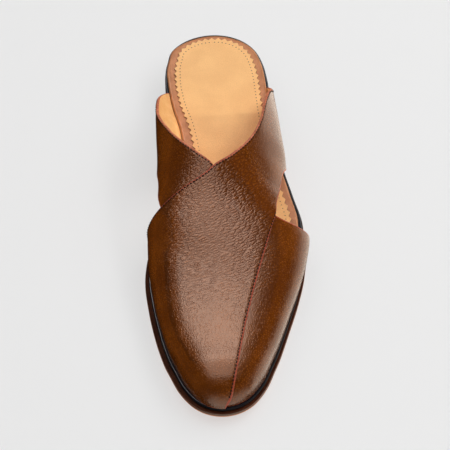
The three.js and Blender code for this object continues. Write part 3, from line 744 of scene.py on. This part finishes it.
# Soft creases across the vamp: from and to as station and girth, how far they bow, their width and depth
creases = [
    {"from": (176, 0.36), "to": (181, 0.56), "bow": 1.0, "width": 1.9, "depth": -0.08},
    {"from": (184, 0.33), "to": (186, 0.60), "bow": 5.0, "width": 1.5, "depth": 0.06},
    {"from": (190, 0.34), "to": (190, 0.50), "bow": -1.5, "width": 1.7, "depth": -0.08},
    {"from": (200, 0.34), "to": (176, 0.62), "bow": 5.0, "width": 2.0, "depth": -0.08},
    {"from": (205, 0.35), "to": (206, 0.59), "bow": 6.0, "width": 1.6, "depth": 0.06},
    {"from": (209, 0.36), "to": (209, 0.56), "bow": 5.0, "width": 1.8, "depth": -0.08},
    {"from": (226, 0.40), "to": (226, 0.55), "bow": 4.0, "width": 2.2, "depth": -0.05},
    {"from": (158, 0.30), "to": (170, 0.47), "bow": 1.0, "width": 3.0, "depth": -0.08},
    {"from": (150, 0.60), "to": (165, 0.50), "bow": 2.0, "width": 2.6, "depth": -0.08},
]


def creaseLine(crease):
    part = np.linspace(0, 1, 60)
    (fromS, fromGirth), (toS, toGirth) = crease["from"], crease["to"]
    station = fromS + (toS - fromS) * part + crease["bow"] * 4 * part * (1 - part)
    return lastPoint(station / shoe["length"], fromGirth + (toGirth - fromGirth) * part)


def softLine(points, line, width, depth, fade=True):  # depth of a soft trough or ridge along a line
    near = np.full(len(points), 1e9)
    nearest = np.zeros(len(points))
    for k, spot in enumerate(line):
        distance = np.linalg.norm(points - spot, axis=1)
        closer = distance < near
        near[closer], nearest[closer] = distance[closer], k / (len(line) - 1)
    total = depth * np.exp(-(near / width) ** 2)
    return total * (np.sin(np.pi * nearest) ** 0.6 if fade else 1)


def measured(rows):  # adds to a panel's table the turn of each row and its width in millimetres
    part = np.linspace(0, 1, 17)
    widths = []
    for k in range(len(rows["rear"])):
        along = rows["rear"][k] + (rows["front"][k] - rows["rear"][k]) * part
        girth = rows["rearGirth"][k] + (rows["frontGirth"][k] - rows["rearGirth"][k]) * part
        widths.append(max(np.linalg.norm(np.diff(lastPoint(along, girth), axis=0), axis=1).sum(), 6.0))
    return dict(rows, turn=range(len(widths)), width=widths)


panels = {"over": measured(overlay), "under": measured(underlay)}


def panelSpot(panel, part, turn, inset):  # along and girth at a share of the panel's width
    columns = ("rear", "rearGirth", "front", "frontGirth", "width")
    rear, rearGirth, front, frontGirth, width = (follow(panel, column, turn, "turn") for column in columns)
    part = inset / width + (1 - 2 * inset / width) * part
    return rear + (front - rear) * part, rearGirth + (frontGirth - rearGirth) * part


def underlayEdge():
    turn = np.linspace(0, len(underlay["rear"]) - 1, 300)
    across = np.linspace(0, 1, 20)
    sides = [(np.zeros(300), turn), (across, np.full(20, turn[-1])), (np.ones(300), turn[::-1]),
             (across[::-1], np.zeros(20))]
    spots = [panelSpot(panels["under"], part, at, 0) for part, at in sides]
    return np.concatenate([s[0] for s in spots]), np.concatenate([s[1] for s in spots])


edgeAlong, edgeGirth = underlayEdge()
edgePoints = lastPoint(edgeAlong, edgeGirth)


def overlayLift(along, girth):  # the overlay lies on the underlay and settles beyond its edge
    inside = np.zeros(len(along), bool)
    near = np.full(len(along), 1e9)
    points = lastPoint(along, girth)
    for k in range(len(edgeAlong)):
        a, b = k, (k + 1) % len(edgeAlong)
        if edgeGirth[a] != edgeGirth[b]:
            spans = (edgeGirth[a] > girth) != (edgeGirth[b] > girth)
            crossing = edgeAlong[a] + (edgeAlong[b] - edgeAlong[a]) * (girth - edgeGirth[a]) / (
                edgeGirth[b] - edgeGirth[a])
            inside ^= spans & (along < crossing)
        near = np.minimum(near, np.linalg.norm(points - edgePoints[k], axis=1))
    return (shoe["leather"] - shoe["panelSink"]) * np.where(inside, 1, ease(1 - near / shoe["panelShelf"]))


def flatLift(along, girth):
    return np.zeros(len(along))


def seamLine(panel, lift, part, fromTurn, toTurn, inside, offset):
    turn = np.linspace(fromTurn, toTurn, 500)
    along, girth = panelSpot(panel, np.full(500, float(part)), turn, inside)
    normal = lastNormal(along, girth)
    points = lastPoint(along, girth) + normal * (lift(along, girth) + offset)[:, None]
    return points, normal


inside = upperForm["stitchInside"]
seams = {  # panel, lift, edge and turns of each stitched row
    "over": [(panels["over"], overlayLift, 0, 0.5, 13.0), (panels["over"], overlayLift, 1, 4.9, 19.75)],
    "under": [(panels["under"], flatLift, 0, 0.5, 10.2)],
}


def panelTurn(panel, down):  # rows lie closer together at the toe
    spans, toe = len(panel["rear"]) - 1, upperForm["toeShare"]
    tail = np.clip((down - toe) / (1 - toe), 0, 1)
    return np.where(tail > 0, spans - (1 - tail) ** 2, (spans - 1) * down / toe)


def panelPart(across):  # columns lie closer together at the edges
    return across - upperForm["edgeCrowding"] * np.sin(2 * np.pi * across) / (2 * np.pi)


def upperPanel(name, panel, lift, rows, edgeSeams):
    rounding, leather = upperForm["edgeRound"], shoe["leather"]
    levels = [(0, rounding), (0.3 * rounding, 0.3 * rounding), (rounding, 0), (leather - rounding, 0),
              (leather - 0.3 * rounding, 0.3 * rounding), (leather, rounding)]
    blank = flatBlank(name, rows, upperForm["columns"], len(levels))
    middles = faceMiddles(blank)
    turn, part = panelTurn(panel, middles[:, 1]), panelPart(middles[:, 0])
    fromEdge = np.minimum(part, 1 - part) * follow(panel, "width", turn, "turn")
    top = (middles[:, 2] > len(levels) - 1.01) & (fromEdge > upperForm["paintBand"])
    for face, lined, plain in zip(blank.data.polygons, middles[:, 2] < 0.01, top):
        face.material_index = 1 if lined else 0 if plain else 2
    grooves = [seamLine(*seam, inside, 0.0)[0] for seam in edgeSeams]
    grain = blank.data.attributes.new("grain", "FLOAT_VECTOR", "POINT")

    def place(across, down, level):
        turn, part = panelTurn(panel, down), panelPart(across)
        offset, inset = np.array(levels)[level].T
        along, girth = panelSpot(panel, part, turn, inset)
        normal = lastNormal(along, girth)
        raised = lift(along, girth)
        onLast = lastPoint(along, girth)
        relief = sum(softLine(onLast, creaseLine(c), c["width"], c["depth"]) for c in creases)
        wearing = onLast + normal * raised[:, None]
        relief = relief - sum(softLine(wearing, line[::5], 0.8, upperForm["stitchGroove"], False)
                              for line in grooves) * (level > 2)
        relief *= ease(np.minimum(girth, 1 - girth) / 0.12)
        points = onLast + normal * (raised + offset + relief)[:, None]
        points[:, 2] = np.maximum(points[:, 2], upperBase(-points[:, 1] / shoe["length"]))
        flowing = grainFlow(points, along, girth)
        grain.data.foreach_set("vector", flowing.ravel())
        return points

    return mould(blank, place)


def grainFlow(points, along, girth):  # arcs round the instep, as the leather was pulled over the last
    centre = upperForm["grainCentre"]
    x, y = points[:, 0] + shiftX - centre[0], points[:, 1] + shiftY - centre[1]
    station = along * shoe["length"]
    middle = ease((girth - 0.28) / 0.14) * ease((0.74 - girth) / 0.2)
    strength = ease((station - 95) / 60) * ease((262 - station) / 70) * middle
    return np.stack([np.arctan2(x, -y) * 90 * mm, np.hypot(x, y) * mm, strength], -1)


over = upperPanel("upper_overlay", panels["over"], overlayLift, upperForm["rows"], seams["over"])
under = upperPanel("upper_underlay", panels["under"], flatLift, upperForm["rows"], seams["under"])
for panel in (over, under):
    finish(panel, [finishes["upper"], finishes["lining"], finishes["edge"]], "upper", 50)
print("upper panels made")

spots = []
for seam in seams["over"] + seams["under"]:
    line, normals = seamLine(*seam, inside, shoe["leather"] - upperForm["stitchGroove"] + 0.14)
    at = evenly(line, upperForm["stitchPitch"])
    places, ups = between(toFrame(line), at), between(normals, at)
    aheads = between(np.gradient(line, axis=0), at)
    spots += [layFrame(p, a, u) for p, a, u in zip(places, aheads, ups)]
bpy.ops.mesh.primitive_uv_sphere_add(segments=8, ring_count=5, radius=mm)
stitch = bpy.context.object
startEdit(stitch)
bpy.ops.transform.rotate(value=math.pi / 2, orient_axis="Y", center_override=(0, 0, 0))
bpy.ops.transform.resize(value=upperForm["stitchSize"], center_override=(0, 0, 0))
bpy.ops.object.mode_set(mode="OBJECT")
stitches = stamped("upper_stitches", stitch, spots)
finish(stitches, [finishes["thread"]], smooth=80)
print("stitches made:", len(spots))


# Floor, lights and camera

studio = {
    "floor": 6.0, "floorColour": (0.26, 0.26, 0.26), "floorGlow": 0.565, "room": 0.26,
    "cameraPlace": (-0.0565, -0.8884, 1.3265), "cameraAim": (0.001, 0.0063, 0.0), "lens": 187.8,
    "lights": {  # place, aim, width, depth, watts, what it gives, colour
        "softbox_back": ((-0.42, 0.90, 1.90), (-0.42, 0.90, 0), 2.9, 1.40, 98.0, "gloss", (1, 0.94, 0.90)),
        "softbox_front": ((-0.45, -0.80, 1.90), (-0.45, -0.80, 0), 2.8, 2.00, 58.0, "gloss", (1, 0.96, 0.94)),
        "side_box": ((0.90, 0.28, -0.50), (0, 0.03, 0.04), 1.9, 1.1, 13.0, "gloss", (1, 0.90, 0.78)),
        "front_box": ((0.10, -0.80, -0.55), (0, -0.10, 0.02), 1.4, 0.8, 5.5, "gloss", (1, 0.92, 0.82)),
        "top": ((0.10, 0.20, 1.90), (0.10, 0.20, 0), 2.5, 2.5, 106.0, "light", (1, 1, 1)),
        "key": ((0.90, 0.30, 1.60), (0, 0, 0), 1.4, 1.4, 9.0, "light", (1, 1, 1)),
    },
}
bpy.ops.mesh.primitive_plane_add(size=studio["floor"], location=(0, 0, cadLow.z))
floor = bpy.context.object
floor.name = "floor"
floorMaterial, _, floorShader = newMaterial("pale_floor")
surface(floorShader, Base_Color=studio["floorColour"], Roughness=0.85, Specular_IOR_Level=0.2,
        Emission_Color=(1, 1, 1), Emission_Strength=studio["floorGlow"])
floor.data.materials.append(floorMaterial)
floor.visible_glossy = floor.visible_shadow = False  # the leather mirrors the softboxes alone


def addLight(name, place, aim, wide, deep, power, gives, tone):
    bpy.ops.object.light_add(type="AREA", location=place)
    light = bpy.context.object
    light.name = name
    light.data.shape, light.data.size, light.data.size_y, light.data.energy = "RECTANGLE", wide, deep, power
    light.data.color = tone
    light.visible_glossy, light.visible_diffuse = gives == "gloss", gives == "light"
    light.rotation_euler = (Vector(aim) - Vector(place)).to_track_quat("-Z", "Y").to_euler()


for name, values in studio["lights"].items():
    addLight(name, *values)
world = bpy.data.worlds.new("room")
bpy.context.scene.world = world
world.use_nodes = True
world.node_tree.nodes["Background"].inputs["Color"].default_value = (1, 1, 1, 1)
world.node_tree.nodes["Background"].inputs["Strength"].default_value = studio["room"]
world.cycles_visibility.glossy = False
bpy.context.scene.view_settings.view_transform = "Standard"

bpy.ops.object.camera_add(location=studio["cameraPlace"])
camera = bpy.context.object
camera.data.lens = studio["lens"]
camera.rotation_euler = (Vector(studio["cameraAim"]) - Vector(studio["cameraPlace"])).to_track_quat(
    "-Z", "Y").to_euler()
bpy.context.scene.camera = camera
print("floor, lights and camera placed")
